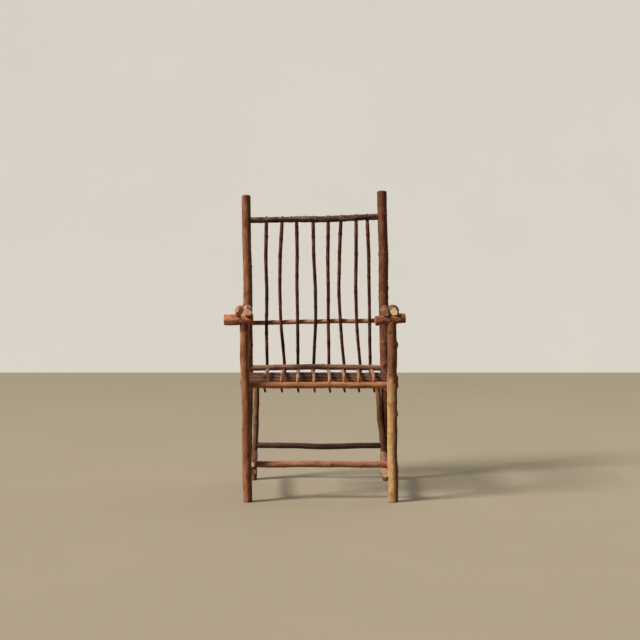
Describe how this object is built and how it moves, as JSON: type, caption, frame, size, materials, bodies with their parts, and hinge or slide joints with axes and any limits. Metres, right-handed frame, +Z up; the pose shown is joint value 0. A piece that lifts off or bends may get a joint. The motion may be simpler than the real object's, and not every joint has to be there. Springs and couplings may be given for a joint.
{
  "type": "twig armchair",
  "caption": "Rustic armchair of round poles with bark on, with a seat and back of bent shoots, double arm rods on crossbars, and stretchers below.",
  "frame": {"origin": "middle of the part's box, on the floor", "axes": "+Z up; the sitter looks along -Y, and -X is on the left when the chair is seen from the front"},
  "size_m": [0.591, 0.5107, 1.06],
  "materials": {
    "peeled_leg": "half-peeled bark, satin",
    "post_bark": "bark on, satin",
    "dark_bark": "bark on, matte",
    "stretcher_bark": "bark on, satin",
    "seat_frame": "bark on, satin",
    "cross_rail": "bark on, matte",
    "back_rail": "bark on, satin",
    "arm_bark": "bark on, satin",
    "shoot_bark": "smooth young bark, satin",
    "nail": "dull dark iron"
  },
  "bodies": {
    "root": {"front_leg_left": "peeled_leg", "front_leg_right": "peeled_leg", "back_post_left": "post_bark", "back_post_right": "post_bark", "rear_leg_left": "dark_bark", "rear_leg_right": "dark_bark", "back_stretcher": "dark_bark", "side_stretcher_left": "stretcher_bark", "side_stretcher_right": "stretcher_bark", "front_stretcher": "stretcher_bark", "seat_side_rail_left": "seat_frame", "seat_side_rail_right": "seat_frame", "front_seat_rail": "seat_frame", "seat_cross_rail_1": "cross_rail", "seat_cross_rail_2": "cross_rail", "seat_cross_rail_3": "cross_rail", "lower_back_rail": "back_rail", "middle_back_rail": "back_rail", "top_back_rail": "back_rail", "arm_crossbar_left": "arm_bark", "arm_crossbar_right": "arm_bark", "arm_rod_inner_left": "arm_bark", "arm_rod_inner_right": "arm_bark", "arm_rod_outer_left": "arm_bark", "arm_rod_outer_right": "arm_bark", "bent_shoot_1": "shoot_bark", "bent_shoot_2": "shoot_bark", "bent_shoot_3": "shoot_bark", "bent_shoot_4": "shoot_bark", "bent_shoot_5": "shoot_bark", "bent_shoot_6": "shoot_bark", "bent_shoot_7": "shoot_bark", "bent_shoot_8": "shoot_bark", "frame_nails": "nail"}
  },
  "joints": []
}
